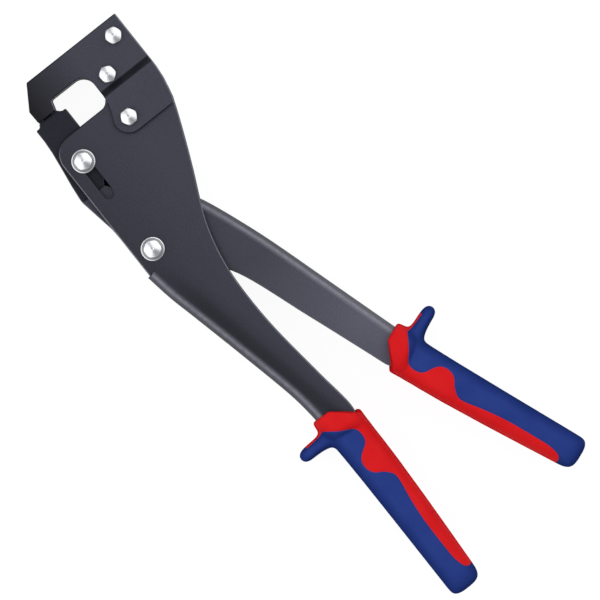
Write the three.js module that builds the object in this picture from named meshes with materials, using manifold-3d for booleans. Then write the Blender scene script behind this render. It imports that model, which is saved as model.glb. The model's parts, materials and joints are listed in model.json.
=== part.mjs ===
// Two-handed punch-and-fold pliers for sheet-metal sections.
//
// Design frame, mm: the main pivot is the origin, +Y runs along the punch axis towards the head, +X
// points from the punch towards the throat and +Z points out of the front plate. The last lines move
// the whole tool so that it lies on z = 0 with the origin at the middle of its base.

import * as THREE from "three";
import * as BufferGeometryUtils from "three/addons/utils/BufferGeometryUtils.js";
import Module from "manifold-3d";

const wasm = await Module();
wasm.setup();

// ---------------------------------------------------------------- driving dimensions

const gap = 0.3;              // air between neighbouring pieces
const sheet = 3;              // body and head plates
const bodyInner = 7.5;        // half the space between the body plates
const bodyOuter = bodyInner + sheet;
const bodyBend = 5;           // outer bend radius of the fixed handle's back
const leverSheet = 2.4;       // moving handle
const leverOuter = 4.9;       // half the width of the moving handle
const lowest = 16.6;          // how far the rear nuts and the collars reach from the mid-plane

const slideRest = 56.9;       // slide bolt above the main pivot, jaws closed
const slideTravel = 20;
const slotWidth = 6;
const nose = 86;              // height of the nose face above the pivot
const headTop = 106.2;
const headRight = 59.4;
const throatTop = 91.6;
const throatBottom = 71.8;
const throatRight = 28.6;
const throatRadius = 7;
const joggleTop = 78.9;       // the head plates step outwards over the body plates here
const joggleFoot = 75.6;
const bodyTop = 74;           // top edge of the body plates under the head plates

const headBolts = [[51.8, 97.7], [37.2, 84], [32.3, 60.2]];
const knee = [-7.2, 31.5];    // knee pin, jaws closed
const kneePinRadius = 2.5;
const linkEyeDistance = 25.23;  // slide bolt to the middle of the link's clearance eye
const linkEyeOffset = -0.6;
const linkEyeRadius = 4.1;

const shank = 2.5;            // M5 bolts
const shoulder = 2.7;         // slide bolt where it runs in the slots
const boltHole = shank + gap;
const hexAcross = 8;
const headHeight = 3.5;

const gripTwist = 20.7;       // degrees between the two grips, jaws closed
const gripShift = [40.2, 8.6];

// ---------------------------------------------------------------- materials

const finish = (color, roughness, metalness) =>
  new THREE.MeshStandardMaterial({ color, roughness, metalness });

const steel = finish(0x45464e, 0.45, 0.7);
const darkSteel = finish(0x2f3038, 0.4, 0.75);
const zinc = finish(0xd8dadd, 0.25, 1);
const red = finish(0xd2202a, 0.55, 0);
const blue = finish(0x243882, 0.7, 0);

// ---------------------------------------------------------------- solids

function solid(geometry) {
  const bare = geometry.clone();
  bare.deleteAttribute("normal");
  bare.deleteAttribute("uv");
  const merged = BufferGeometryUtils.mergeVertices(bare, 1e-4);
  return new wasm.Manifold(new wasm.Mesh({
    numProp: 3,
    vertProperties: new Float32Array(merged.attributes.position.array),
    triVerts: new Uint32Array(merged.index.array),
  }));
}

function toGeometry(body) {
  const mesh = body.getMesh();
  const geometry = new THREE.BufferGeometry();
  geometry.setAttribute("position", new THREE.BufferAttribute(mesh.vertProperties, 3));
  geometry.setIndex(new THREE.BufferAttribute(mesh.triVerts, 1));
  geometry.computeVertexNormals();
  return geometry;
}

const tool = new THREE.Group();

function piece(name, body, material) {
  const mesh = new THREE.Mesh(toGeometry(body), material);
  mesh.name = name;
  tool.add(mesh);
}

const points = (list) => list.map(([x, y]) => new THREE.Vector2(x, y));
const join = (bodies) => bodies.reduce((sum, body) => sum.add(body));

// An outline in the plate's plane, given its thickness from z0 to z1.
function slab(outline, z0, z1) {
  const shape = outline instanceof THREE.Shape ? outline : new THREE.Shape(points(outline));
  const settings = { depth: z1 - z0, bevelEnabled: false, curveSegments: 8 };
  const geometry = new THREE.ExtrudeGeometry(shape, settings);
  return solid(geometry.translate(0, 0, z0));
}

// The same outline on both sides of the mid-plane, as one list of two slabs.
const pair = (outline, z0, z1) => [slab(outline, z0, z1), slab(outline, -z1, -z0)];

function disc([x, y], radius, z0, z1, sides = 20) {
  const geometry = new THREE.CylinderGeometry(radius, radius, z1 - z0, sides);
  return solid(geometry.rotateX(Math.PI / 2).translate(x, y, (z0 + z1) / 2));
}

function ring(at, outer, inner, z0, z1) {
  return disc(at, outer, z0, z1).subtract(disc(at, inner, z0 - 1, z1 + 1));
}

function block(x0, x1, y0, y1, z0, z1) {
  const geometry = new THREE.BoxGeometry(x1 - x0, y1 - y0, z1 - z0);
  return solid(geometry.translate((x0 + x1) / 2, (y0 + y1) / 2, (z0 + z1) / 2));
}

// A closed skin through rings of points, each ring a list of Vector3 with the same count.
function loft(rings, flatCap) {
  const count = rings[0].length;
  const position = rings.flat().flatMap((p) => [p.x, p.y, p.z]);
  const index = [];
  for (let i = 0; i + 1 < rings.length; i++) {
    for (let j = 0; j < count; j++) {
      const a = i * count + j;
      const b = i * count + (j + 1) % count;
      index.push(a, b, b + count, a, b + count, a + count);
    }
  }
  const last = (rings.length - 1) * count;
  for (const [a, b, c] of THREE.ShapeUtils.triangulateShape(flatCap, [])) {
    index.push(a, c, b, last + a, last + b, last + c);
  }
  const geometry = new THREE.BufferGeometry();
  geometry.setAttribute("position", new THREE.Float32BufferAttribute(position, 3));
  geometry.setIndex(index);
  const body = solid(geometry);
  return body.volume() > 0 ? body : solid(inverted(geometry));
}

function inverted(geometry) {
  const index = geometry.index.array;
  for (let i = 0; i < index.length; i += 3) {
    [index[i], index[i + 1]] = [index[i + 1], index[i]];
  }
  return geometry;
}

// ---------------------------------------------------------------- folded handle backs

// Section of a folded back: across runs inwards from the back's outer face, up is along z.
function foldSection(half, thick, radius, reach) {
  const steps = 3;
  const bend = (r, up) => Array.from({ length: steps + 1 }, (_, i) => {
    const angle = (Math.PI / 2) * (i / steps);
    const across = radius - r * Math.sin(angle);
    return new THREE.Vector2(across, up * (half - radius + r * Math.cos(angle)));
  });
  const outside = [new THREE.Vector2(reach, half), ...bend(radius, 1)];
  const outsideBack = [...bend(radius, -1).reverse(), new THREE.Vector2(reach, -half)];
  const flat = half - thick;
  const inside = [new THREE.Vector2(reach, -flat), ...bend(radius - thick, -1)];
  const insideBack = [...bend(radius - thick, 1).reverse(), new THREE.Vector2(reach, flat)];
  const section = [...outside, ...outsideBack, ...inside, ...insideBack];
  return section.filter((p, i) => p.distanceTo(section[(i + 1) % section.length]) > 0.01);
}

// Runs that section along a curve; inward is +1 where the handle lies left of the curve's direction.
function foldedBack(curve, inward, section, stations) {
  const rings = curve.getSpacedPoints(stations).map((at, i) => {
    const along = curve.getTangentAt(i / stations);
    const normal = new THREE.Vector2(-along.y, along.x).multiplyScalar(inward);
    return section.map((p) => new THREE.Vector3(at.x + normal.x * p.x, at.y + normal.y * p.x, p.y));
  });
  return loft(rings, section);
}

// Points of a curve moved sideways by distance.
function beside(curve, distance, count) {
  return curve.getSpacedPoints(count).map((at, i) => {
    const along = curve.getTangentAt(i / count);
    return [at.x - along.y * distance, at.y + along.x * distance];
  });
}

// ---------------------------------------------------------------- the twin grip's place

const twistRadians = THREE.MathUtils.degToRad(gripTwist);

// Where a point of the fixed grip lies on its mirrored twin.
function twin([x, y]) {
  const cos = Math.cos(twistRadians);
  const sin = Math.sin(twistRadians);
  return [-x * cos - y * sin + gripShift[0], -x * sin + y * cos + gripShift[1]];
}

const fixedTangBack = [[11.2, -125], [13, -137], [13.6, -170], [13.9, -205]];
const fixedTangEdge = [[30.1, -125], [27.6, -137], [26.4, -170], [25, -205]];

// ---------------------------------------------------------------- fixed handle shell

const fixedBack = new THREE.SplineCurve(points([
  [-11.1, -10.1], [-8.6, -25.2], [-5, -40.4], [2, -70.6], [8.6, -101], [10.6, -116], ...fixedTangBack,
]));
const fixedEdge = new THREE.SplineCurve(points([
  [58.7, 65.6], [56.5, 55.5], [50.7, 40.4], [41.9, 20.2], [33.8, 3], [28.8, -10], [25.2, -25],
  [23.4, -42], [23.8, -68], [27.3, -101], ...fixedTangEdge,
]));

function bodyOutline() {
  const corner = 11;
  const left = -9.8;
  const shape = new THREE.Shape();
  shape.moveTo(left, -10.5);
  shape.lineTo(left, throatBottom - corner);
  shape.absarc(left + corner, throatBottom - corner, corner, Math.PI, Math.PI / 2, true);
  shape.lineTo(22.3, throatBottom);
  shape.absarc(22.3, throatBottom + 6.2, 6.2, -Math.PI / 2, -0.7, false);
  shape.lineTo(throatRight, bodyTop);
  shape.lineTo(headRight, bodyTop);
  shape.lineTo(headRight, 72);
  for (const p of fixedEdge.getSpacedPoints(28)) {
    shape.lineTo(p.x, p.y);
  }
  for (const [x, y] of beside(fixedBack, bodyBend + 0.5, 12).reverse()) {
    shape.lineTo(x, y);
  }
  return shape;
}

function slotOutline() {
  const half = slotWidth / 2;
  const shape = new THREE.Shape();
  shape.absarc(0, slideRest + gap, half, 0, Math.PI, false);
  shape.absarc(0, slideRest - slideTravel - 0.8, half, Math.PI, Math.PI * 2, false);
  return shape;
}

function fixedHandleShell() {
  const section = foldSection(bodyOuter, sheet, bodyBend, bodyBend + 3);
  const shell = join([
    ...pair(bodyOutline(), bodyInner, bodyOuter),
    foldedBack(fixedBack, 1, section, 14),
  ]);
  return shell
    .subtract(slab(slotOutline(), -20, 20))
    .subtract(disc([0, 0], boltHole, -20, 20))
    .subtract(disc(headBolts[2], boltHole, -20, 20));
}

// ---------------------------------------------------------------- head

function throatArc(shape, inset) {
  const radius = throatRadius + inset;
  const x = throatRight + inset;
  const y = throatTop + inset;
  shape.lineTo(x, y - radius);
  shape.absarc(x - radius, y - radius, radius, 0, Math.PI / 2, false);
  shape.lineTo(8, y);
  shape.quadraticCurveTo(6.4, y, 6.3 - inset, y - 1.5);
}

function headOutline() {
  const lobe = 8.4;
  const [boltX, boltY] = headBolts[2];
  const shape = new THREE.Shape();
  shape.moveTo(-5.9, nose);
  shape.lineTo(-6.15, 93.5);
  shape.lineTo(2, headTop);
  shape.lineTo(headRight, headTop);
  shape.lineTo(headRight, 72);
  shape.lineTo(58.8, 65.6);
  shape.lineTo(56.6, 55.5);
  shape.quadraticCurveTo(55.6, boltY - lobe, 53, boltY - lobe);
  shape.lineTo(boltX, boltY - lobe);
  shape.absarc(boltX, boltY, lobe, -Math.PI / 2, -Math.PI * 1.17, true);
  shape.quadraticCurveTo(28, 69.5, throatRight, 76.5);
  throatArc(shape, 0);
  shape.lineTo(5.1, nose);
  return shape;
}

// Section of a joggled plate across z and along y, swept over the head's whole width.
function joggledSheet(side) {
  const shift = 1.2;
  const stepInner = bodyOuter + gap;
  const section = [
    [bodyInner, 110], [bodyInner, joggleTop - shift], [stepInner, joggleFoot - shift], [stepInner, 45],
    [stepInner + sheet, 45], [stepInner + sheet, joggleFoot], [bodyOuter, joggleTop], [bodyOuter, 110],
  ].map(([z, y]) => [z * side, y]);
  const shape = new THREE.Shape(points(section));
  const geometry = new THREE.ExtrudeGeometry(shape, { depth: 80, bevelEnabled: false });
  return solid(geometry.rotateY(-Math.PI / 2).translate(70, 0, 0));
}

function headPlate(side) {
  let plate = joggledSheet(side).intersect(slab(headOutline(), -20, 20));
  for (const at of headBolts) {
    plate = plate.subtract(disc(at, boltHole, -20, 20));
  }
  return plate;
}

function dieBlock() {
  const half = bodyInner - gap;
  const right = headRight - gap;
  const shape = new THREE.Shape();
  shape.moveTo(-5.6, nose + gap);
  shape.lineTo(-5.85, 93.4);
  shape.lineTo(2.2, headTop - gap);
  shape.lineTo(right, headTop - gap);
  shape.lineTo(right, joggleTop);
  shape.lineTo(throatRight + gap, joggleTop);
  throatArc(shape, gap);
  shape.lineTo(4.9, nose + gap);
  return slab(shape, -half, half)
    .subtract(block(-2.9, 2.9, nose - 5, 98, -4.6, 4.6))
    .subtract(disc(headBolts[0], boltHole, -20, 20))
    .subtract(disc(headBolts[1], boltHole, -20, 20));
}

// ---------------------------------------------------------------- fasteners

function hexagon([x, y], across, z0, z1, turn) {
  const radius = across / Math.sqrt(3);
  const geometry = new THREE.CylinderGeometry(radius, radius, z1 - z0, 6);
  geometry.rotateX(Math.PI / 2).rotateZ(turn).translate(x, y, (z0 + z1) / 2);
  return solid(geometry);
}

function cone([x, y], lower, upper, z0, z1) {
  const geometry = new THREE.CylinderGeometry(upper, lower, z1 - z0, 24);
  return solid(geometry.rotateX(Math.PI / 2).translate(x, y, (z0 + z1) / 2));
}

// Head on the front at z = seat, shank down to z = -end.
function hexBolt(at, seat, end, turn) {
  const top = seat + headHeight;
  const chamfer = cone(at, 7.4, hexAcross / 2 - 0.1, top - 2, top);
  const crown = hexagon(at, hexAcross, top - 1.5, top, turn).intersect(chamfer);
  return join([crown, hexagon(at, hexAcross, seat, top - 1, turn), disc(at, shank, -end, seat + 1)]);
}

function flangedBolt(at, radius, end, turn) {
  const seat = bodyOuter + gap;
  return join([
    cone(at, 6.2, 5.3, seat, seat + 1.4),
    hexagon(at, hexAcross + 0.4, seat + 1, seat + 5, turn),
    disc(at, radius, -bodyOuter, seat + 0.5),
    disc(at, shank, -end, seat + 0.5),
  ]);
}

function hexNut(at, seat, height, turn) {
  return hexagon(at, hexAcross, -seat - height, -seat, turn).subtract(disc(at, boltHole, -30, 0));
}

function flangedNut(at, turn) {
  const seat = bodyOuter + gap;
  return join([
    cone(at, 5.3, 6.2, -seat - 1.4, -seat),
    hexagon(at, hexAcross + 0.4, -lowest, -seat - 1, turn),
  ]).subtract(disc(at, boltHole, -30, 0));
}

// ---------------------------------------------------------------- moving handle shell

const movingBack = new THREE.SplineCurve(points([
  [34.2, 7], [37.5, 0], [43.4, -15.1], [50.4, -35.3], [61.1, -70.6], [71.8, -106],
  ...fixedTangBack.map(twin),
]));

function leverOutline() {
  const shape = new THREE.Shape();
  shape.moveTo(-13.6, 40.6);
  shape.lineTo(-13.2, 43.4);
  shape.lineTo(0.3, 43.4);
  shape.lineTo(0.9, 40.5);
  shape.quadraticCurveTo(2.2, 40, 3, 37.5);
  shape.quadraticCurveTo(7, 25, 20, 16.5);
  shape.lineTo(29.6, 5.6);
  for (const [x, y] of beside(movingBack, -leverOuter - 0.4, 12)) {
    shape.lineTo(x, y);
  }
  const innerEdge = new THREE.SplineCurve(points([
    ...fixedTangEdge.map(twin).reverse(), [55.3, -116], [40.9, -75.7], [25.7, -35.3], [10, -19], [-2, -10],
  ]));
  for (const p of innerEdge.getSpacedPoints(16)) {
    shape.lineTo(p.x, p.y);
  }
  shape.quadraticCurveTo(-9.2, -4, -9.4, 4);
  shape.lineTo(-10.1, 20.2);
  return shape;
}

function movingHandleShell() {
  const inner = leverOuter - leverSheet;
  const section = foldSection(leverOuter, leverSheet, leverOuter, leverOuter + 3);
  return join([
    ...pair(leverOutline(), inner, leverOuter),
    foldedBack(movingBack, -1, section, 13),
  ])
    .subtract(disc([0, 0], 4.5 + gap, -20, 20))
    .subtract(disc(knee, kneePinRadius + gap, -20, 20));
}

// ---------------------------------------------------------------- slide

function yokeOutline() {
  return [
    [-13.7, 40.9], [-12.7, 50.5], [-11.2, 60.5], [-9.9, 70], [-9.4, 77], [-9.4, 83.9], [-7.6, 83.9],
    [-6.7, 84.4], [-6.1, nose - gap], [5.6, nose - gap], [6.4, 84.6], [7.7, 83.9], [9.6, 83.9],
    [9.6, 52], [2.1, 42.7], [0.9, 40.9],
  ];
}

// The rear cheek alone runs on a little, so that it closes the slot behind the lever.
const rearTail = [[0.2, 45], [3.6, 45], [3.6, 37], [0.2, 38]];

function slideBlock() {
  const half = bodyInner - gap;
  const crotch = 64;
  const cheek = leverOuter + gap;
  return join([slab(yokeOutline(), -half, half), slab(rearTail, -half, -cheek)])
    .subtract(block(-20, 20, 30, crotch, -cheek, cheek))
    .subtract(block(-2.8, 2.8, 72, 90, -4.5, 4.5))
    .subtract(alongY(shank + gap, crotch - 5, 73))
    .subtract(disc([0, slideRest], shoulder + gap, -20, 20));
}

function alongY(radius, y0, y1) {
  return solid(new THREE.CylinderGeometry(radius, radius, y1 - y0, 20).translate(0, (y0 + y1) / 2, 0));
}

// The punch: a flat-sided shank with a roof-shaped tip.
function punch() {
  const half = 2.5;
  const outline = [[-half, 72.3], [half, 72.3], [half, 91.5], [0, 94.2], [-half, 91.5]];
  return slab(outline, -4.2, 4.2);
}

function punchScrew() {
  const socket = 1.25;
  return alongY(shank, 65, 71.9).subtract(alongY(socket, 64, 67.5));
}

// ---------------------------------------------------------------- link

function toggleLink() {
  const half = leverOuter - leverSheet - gap;
  const along = new THREE.Vector2(knee[0], knee[1] - slideRest).normalize();
  const across = new THREE.Vector2(-along.y, along.x);
  const place = (side, down) => [
    across.x * side + along.x * down,
    slideRest + across.y * side + along.y * down,
  ];
  const eye = place(linkEyeOffset, linkEyeDistance);
  const upper = 6.6;
  const lower = linkEyeRadius + 0.8;
  const lowerShift = 0.35;      // the lower end's rim is thinner on its outer side, inside the lever
  const lowerEnd = place(linkEyeOffset + lowerShift, linkEyeDistance);
  const waist = [
    place(-upper, 0), place(-lower, linkEyeDistance), place(lower, linkEyeDistance), place(upper, 0),
  ];
  const body = join([
    slab(waist, -half, half),
    disc([0, slideRest], upper, -half, half),
    disc(lowerEnd, lower, -half, half),
  ]);
  return body
    .subtract(disc([0, slideRest], 4 + gap, -20, 20))
    .subtract(disc(eye, linkEyeRadius, -20, 20));
}

// ---------------------------------------------------------------- grips

// Stations of the fixed grip from the collar to the end: y, outer x, inner x, half thickness.
const gripStations = [
  [-119.8, 9.4, 31.9, 15],
  [-122, 8.6, 32.1, lowest],
  [-129, 8, 32.3, lowest],
  [-132, 8.8, 32.2, 15.6],
  [-135.5, 10.1, 32.1, 13.4],
  [-142, 10.4, 32, 13],
  [-160, 10.4, 31.8, 13.3],
  [-185, 10.5, 30.8, 13.2],
  [-208, 10.6, 29.5, 12.8],
  [-222, 10.8, 28.5, 12],
  [-229, 11.6, 27.3, 10.4],
  [-232.5, 13.6, 25.5, 7.4],
  [-234, 17, 22, 3],
];

function gripRing([y, outer, inner, half]) {
  const sides = 20;
  const power = 0.62;
  const bulge = (value) => Math.sign(value) * Math.abs(value) ** power;
  return Array.from({ length: sides }, (_, i) => {
    const angle = (Math.PI * 2 * (i + 0.5)) / sides;
    const widest = Math.cos(Math.PI / sides) ** power;
    const x = (outer + inner) / 2 + ((inner - outer) / 2 / widest) * bulge(Math.cos(angle));
    return new THREE.Vector3(x, y, (half / widest) * bulge(Math.sin(angle)));
  });
}

function gripBody() {
  const rings = gripStations.map(gripRing);
  const body = loft(rings, rings[0].map((p) => new THREE.Vector2(p.x, p.z)));
  const slantedFront = [[18.8, -120.4], [40, -137.5], [40, -110], [0, -110], [0, -119.9]];
  return body.subtract(slab(slantedFront, -20, 20)).add(wing());
}

function wing() {
  const shape = new THREE.Shape();
  shape.moveTo(14, -125.8);
  shape.lineTo(7.4, -125.8);
  shape.quadraticCurveTo(2, -126, -2.5, -126.9);
  shape.absarc(-3.5, -130.1, 3.2, Math.PI / 2, Math.PI * 1.45, false);
  shape.lineTo(5, -133.5);
  shape.quadraticCurveTo(9.5, -134, 10.2, -141);
  shape.lineTo(14, -141);
  return slab(shape, -9, 9);
}

// Runs from the wing's root round the bulge to the end cap; the cover lies on its outer side.
const seam = [
  [10, -126.6], [17.9, -132], [23, -134.8], [24.3, -140.5], [19.8, -146.8], [17, -149.6], [16.2, -154.8],
  [18, -159], [22.2, -162], [25.5, -166.2], [25.6, -171.3], [24, -181.6], [22.8, -194.7], [22.8, -210],
  [23.4, -223.3], [24.7, -225.2], [40, -225.8],
];

function coverSide(shift) {
  const line = seam.map(([x, y]) => [x + shift, y + shift]);
  return slab([...line, [40, -250], [-20, -250], [-20, -124], [5, -124 + shift]], -20, 20);
}

// Room for the tang; its corners are cut off along the folded back, where the tang is round.
function socket() {
  const room = bodyOuter + gap;
  const corner = 3;
  const back = [[10.6, -110], [10.6, -123], [12.3, -136], [13, -170], [13.3, -206]];
  const front = [[25.8, -206], [27, -170], [28.2, -137], [30.6, -128], [30.8, -110]];
  const steps = 4;
  const layers = Array.from({ length: steps }, (_, i) => {
    const cut = (corner * i) / steps;
    const outer = back.map(([x, y]) => [x + corner - (cut + corner / steps), y]);
    return slab([...outer, ...front], cut - room, room - cut);
  });
  return join(layers);
}

function narrowSocket() {
  const room = leverOuter + gap;
  return socket().intersect(block(-20, 50, -260, -50, -room, room));
}

function mirroredTwin(body) {
  const geometry = toGeometry(body);
  geometry.scale(-1, 1, 1);
  geometry.rotateZ(twistRadians);
  geometry.translate(gripShift[0], gripShift[1], 0);
  return solid(inverted(geometry));
}

// ---------------------------------------------------------------- assembly

function addFixedSide() {
  piece("fixed_handle_shell", fixedHandleShell(), steel);
  piece("head_plate_front", headPlate(1), steel);
  piece("head_plate_rear", headPlate(-1), steel);
  piece("die_block", dieBlock(), darkSteel);
  const lowSeat = bodyOuter + gap;
  const highSeat = lowSeat + sheet + gap;
  const turns = [0.35, 0.1, Math.PI / 6];
  headBolts.forEach((at, i) => {
    const seat = i === 2 ? highSeat : lowSeat;
    const nutHeight = i === 2 ? lowest - highSeat : 4;
    piece(`head_bolt_${i + 1}`, hexBolt(at, seat, seat + nutHeight, turns[i]), zinc);
    piece(`head_nut_${i + 1}`, hexNut(at, seat, nutHeight, turns[i]), zinc);
  });
  piece("head_sleeve", ring(headBolts[2], 4.5, boltHole, gap - bodyInner, bodyInner - gap), zinc);
  piece("pivot_bolt", flangedBolt([0, 0], shank, lowest, 0), zinc);
  piece("pivot_nut", flangedNut([0, 0], 0), zinc);
  piece("pivot_sleeve", ring([0, 0], 4.5, boltHole, gap - bodyInner, bodyInner - gap), darkSteel);
  addWashers("pivot_washer", [0, 0], 7.5, 4.5 + gap, leverOuter + gap, bodyInner - gap);
}

function addWashers(name, at, outer, inner, z0, z1) {
  piece(`${name}_front`, ring(at, outer, inner, z0, z1), zinc);
  piece(`${name}_rear`, ring(at, outer, inner, -z1, -z0), zinc);
}

function addMovingHandle() {
  piece("moving_handle_shell", movingHandleShell(), steel);
  piece("knee_pin", disc(knee, kneePinRadius, -leverOuter, leverOuter), darkSteel);
}

function addSlide() {
  const at = [0, slideRest];
  const linkHalf = leverOuter - leverSheet;
  piece("slide_block", slideBlock(), darkSteel);
  piece("punch", punch(), darkSteel);
  piece("punch_screw", punchScrew(), zinc);
  piece("slide_bolt", flangedBolt(at, shoulder, lowest, 0), zinc);
  piece("slide_nut", flangedNut(at, 0), zinc);
  piece("slide_sleeve", ring(at, 4, shoulder + gap, -leverOuter, leverOuter), darkSteel);
  addWashers("slide_washer", at, 5.5, 4 + gap, linkHalf, leverOuter);
  piece("toggle_link", toggleLink(), darkSteel);
}

function addGrips() {
  const core = gripBody().subtract(coverSide(gap)).subtract(socket());
  const cover = gripBody().intersect(coverSide(0)).subtract(socket());
  piece("fixed_grip_core", core, red);
  piece("fixed_grip_cover", cover, blue);
  const twinCore = gripBody().subtract(coverSide(gap)).subtract(narrowSocket());
  const twinCover = gripBody().intersect(coverSide(0)).subtract(narrowSocket());
  piece("moving_grip_core", mirroredTwin(twinCore), red);
  piece("moving_grip_cover", mirroredTwin(twinCover), blue);
}

addFixedSide();
addMovingHandle();
addSlide();
addGrips();

const box = new THREE.Box3().setFromObject(tool);
const middle = box.getCenter(new THREE.Vector3());
tool.position.set(-middle.x, -middle.y, -box.min.z);

export default tool;
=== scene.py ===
"""Looks of the two-handed sheet-metal joining pliers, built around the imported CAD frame.

Shapes are made in millimetres in the tool's design frame: the main pivot is the origin, +Y runs along the
punch axis towards the head, +X points from the punch towards the throat, +Z points out of the front plate.
row_object() moves each finished mesh into the row frame, in metres.
"""

import json
import math

import bmesh
import bpy
import numpy as np
from mathutils import Matrix, Vector

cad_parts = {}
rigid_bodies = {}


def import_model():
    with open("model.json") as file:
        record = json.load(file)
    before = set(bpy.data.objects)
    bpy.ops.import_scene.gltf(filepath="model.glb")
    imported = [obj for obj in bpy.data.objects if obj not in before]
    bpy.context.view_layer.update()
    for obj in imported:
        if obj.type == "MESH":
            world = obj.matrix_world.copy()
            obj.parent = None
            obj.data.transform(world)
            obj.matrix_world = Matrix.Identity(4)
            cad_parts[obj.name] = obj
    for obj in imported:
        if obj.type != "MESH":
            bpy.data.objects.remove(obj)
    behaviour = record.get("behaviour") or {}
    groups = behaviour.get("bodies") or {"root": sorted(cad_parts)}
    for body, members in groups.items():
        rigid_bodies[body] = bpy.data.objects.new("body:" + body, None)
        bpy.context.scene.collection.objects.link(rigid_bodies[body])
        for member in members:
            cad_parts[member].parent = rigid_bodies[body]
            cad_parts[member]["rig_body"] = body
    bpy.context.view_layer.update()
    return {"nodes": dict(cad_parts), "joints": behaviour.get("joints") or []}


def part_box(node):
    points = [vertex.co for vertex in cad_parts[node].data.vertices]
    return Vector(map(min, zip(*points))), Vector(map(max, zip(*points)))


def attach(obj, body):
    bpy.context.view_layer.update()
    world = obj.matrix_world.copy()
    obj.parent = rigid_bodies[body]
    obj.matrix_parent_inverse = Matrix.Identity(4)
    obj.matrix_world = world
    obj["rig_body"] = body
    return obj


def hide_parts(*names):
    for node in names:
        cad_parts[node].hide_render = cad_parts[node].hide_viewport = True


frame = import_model()
NODES = frame["nodes"]
JOINTS = {joint["name"]: joint for joint in frame["joints"]}
PIVOT = Vector(JOINTS["handle_pivot"]["pos_m"])
TO_ROW = Matrix.Translation(PIVOT) @ Matrix.Scale(0.001, 4)

# ---------------------------------------------------------------- dimensions, mm

GAP = 0.3
BODY_SHEET = 3.0
BODY_INNER = 7.5
BODY_OUTER = BODY_INNER + BODY_SHEET
BODY_BEND = 5.0
LEVER_SHEET = 2.4
LEVER_OUTER = 4.9
LOW_SEAT = BODY_OUTER + GAP
HIGH_SEAT = LOW_SEAT + BODY_SHEET + GAP
LOWEST = 16.6
EDGE = 0.6                       # stamped edges of the body sheets
LEVER_EDGE = 0.4                 # edges of the lever sheets and the yoke
FINE_EDGE = 0.3
NOSE = 86.0
HEAD_TOP = 106.2
HEAD_RIGHT = 59.4
THROAT_TOP = 91.6
THROAT_BOTTOM = 71.8
THROAT_RIGHT = 28.6
THROAT_RADIUS = 7.0
JOGGLE_TOP = 78.9
JOGGLE_FOOT = 75.6
SLIDE_TRAVEL = 20.0
SLOT_RADIUS = 3.0
BOLT_HOLE = 2.8
SHANK = 2.5
SHOULDER = 2.7
SLEEVE = 4.5                     # radius of the pivot's and the head's sleeves
SLIDE_SLEEVE = 4.0
PIVOT_WASHER = 7.5
SLIDE_WASHER = 5.5
KNEE_PIN = 2.5
LINK_EYE_DISTANCE = 25.23        # from the slide bolt to the middle of the link's clearance eye
LINK_EYE_OFFSET = -0.6
LINK_EYE = 4.1
PUNCH_HALF = 2.5
PUNCH_DEPTH = 4.2
PUNCH_FOOT = 72.3
HEX_ACROSS = 8.0
HEX_EDGE = 0.35
HEAD_HEIGHT = 3.5
NUT_HEIGHT = 4.0
FLANGED_ACROSS = HEX_ACROSS + 0.4
FLANGE = 6.2                     # radius of the flanged heads and nuts
FLANGE_HEIGHT = 0.8
GRIP_TWIST = math.radians(20.7)
GRIP_SHIFT = (40.2, 8.6)
VOXEL = 0.5
TURNS = (0.35, 0.1, math.pi / 6)  # how far the three plain bolts are turned
ORIGIN = (0, 0)                  # where the main pivot stands


def clamped(value):
    return min(1, max(0, value))


def design_point(metres):
    return (Vector(metres) - PIVOT) * 1000


def node_middle(node):
    low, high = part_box(node)
    middle = design_point((low + high) / 2)
    return middle.x, middle.y


SLIDE_Y = design_point(JOINTS["link_pivot"]["pos_m"]).y
HEAD_BOLTS = [node_middle(f"head_bolt_{i}") for i in (1, 2, 3)]
KNEE = node_middle("knee_pin")

# ---------------------------------------------------------------- outlines


def arc(x, y, radius, start, end, steps=14):
    angles = np.linspace(start, end, steps)
    return [(x + radius * math.cos(a), y + radius * math.sin(a)) for a in angles]


def circle(at, radius, steps=48):
    return arc(at[0], at[1], radius, 0, 2 * math.pi, steps + 1)[:-1]


def quad(start, control, end, steps=10):
    points = []
    for t in np.linspace(0, 1, steps):
        a, b, c = (1 - t) ** 2, 2 * t * (1 - t), t * t
        points.append(tuple(a * s + b * m + c * e for s, m, e in zip(start, control, end)))
    return points


def spline(points, spacing):
    """A uniform Catmull-Rom curve through the points, with its points about spacing apart."""
    p = np.array([points[0], *points, points[-1]], float)
    fine = []
    for i in range(1, len(p) - 2):
        t = np.linspace(0, 1, 40, endpoint=False)[:, None]
        v0 = (p[i + 1] - p[i - 1]) / 2
        v1 = (p[i + 2] - p[i]) / 2
        fine.append((2 * p[i] - 2 * p[i + 1] + v0 + v1) * t ** 3
                    + (-3 * p[i] + 3 * p[i + 1] - 2 * v0 - v1) * t ** 2 + v0 * t + p[i])
    fine = np.vstack([*fine, p[-1:]])
    length = np.concatenate([[0], np.cumsum(np.linalg.norm(np.diff(fine, axis=0), axis=1))])
    at = np.linspace(0, length[-1], max(2, round(length[-1] / spacing)) + 1)
    return [(np.interp(s, length, fine[:, 0]), np.interp(s, length, fine[:, 1])) for s in at]


def directions(path):
    d = np.gradient(np.array(path, float), axis=0)
    return d / np.linalg.norm(d, axis=1, keepdims=True)


def beside(path, distance):
    """The path moved sideways, to its left where distance is positive."""
    return [(x - dy * distance, y + dx * distance) for (x, y), (dx, dy) in zip(path, directions(path))]


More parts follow.
